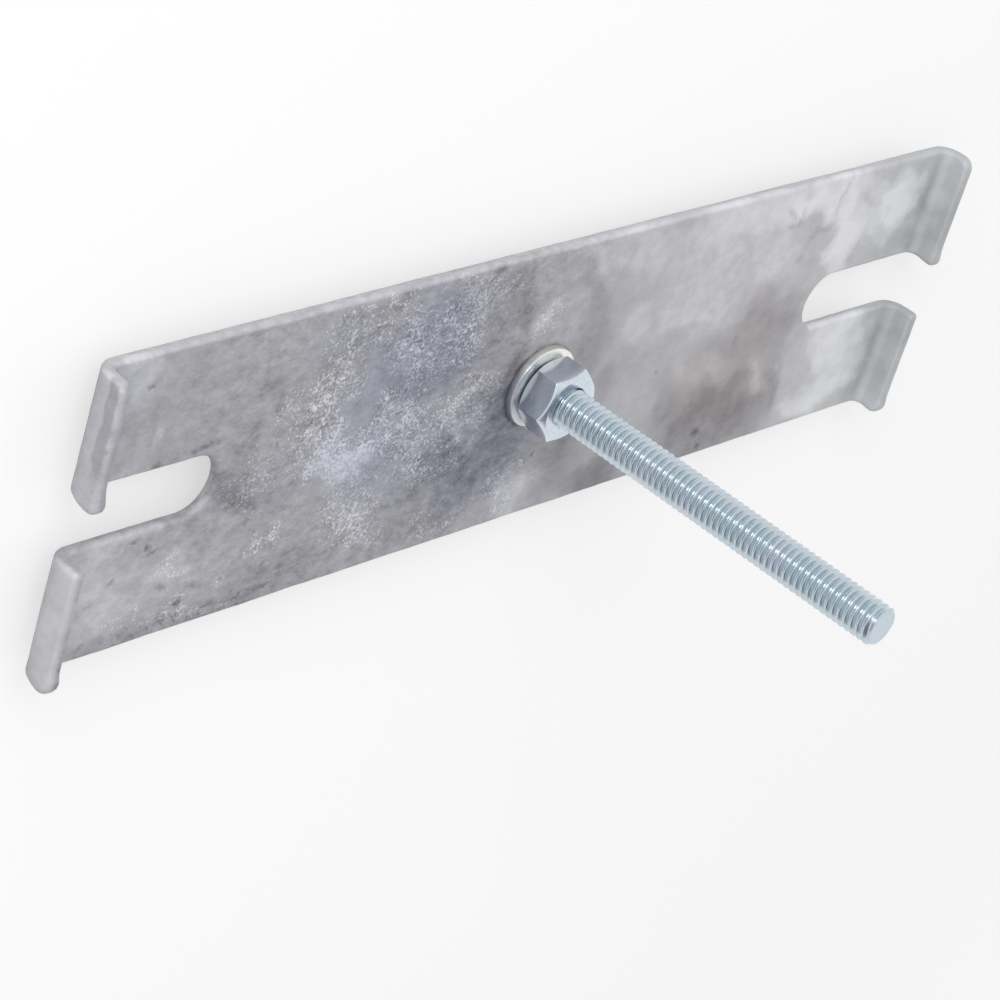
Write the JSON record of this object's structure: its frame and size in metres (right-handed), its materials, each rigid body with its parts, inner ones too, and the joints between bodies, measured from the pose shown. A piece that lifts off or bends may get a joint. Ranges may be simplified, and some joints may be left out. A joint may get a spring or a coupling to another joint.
{
  "type": "post cap plate",
  "caption": "Galvanised flat bar with both ends bent up as short lips, an open-ended slot through each end, and a threaded stud bolted through its centre with a washer and nut.",
  "frame": {"origin": "on the stud's axis, at the outer face of the bolt's head, which is the lowest point", "axes": "+Z along the stud towards its tip, +X along the plate, +Y across it"},
  "size_m": [0.234, 0.06, 0.0916],
  "materials": {
    "galvanised_steel": "hot-dip zinc, matt and mottled",
    "bright_zinc_thread": "bright zinc plate on a rolled thread",
    "washer_zinc": "zinc plate, satin with a warm sheen",
    "nut_zinc": "bright zinc plate, satin on the flats"
  },
  "bodies": {
    "root": {"cap_plate": "galvanised_steel", "stud_bolt": "bright_zinc_thread", "flat_washer": "washer_zinc", "hex_nut": "nut_zinc"}
  },
  "joints": []
}
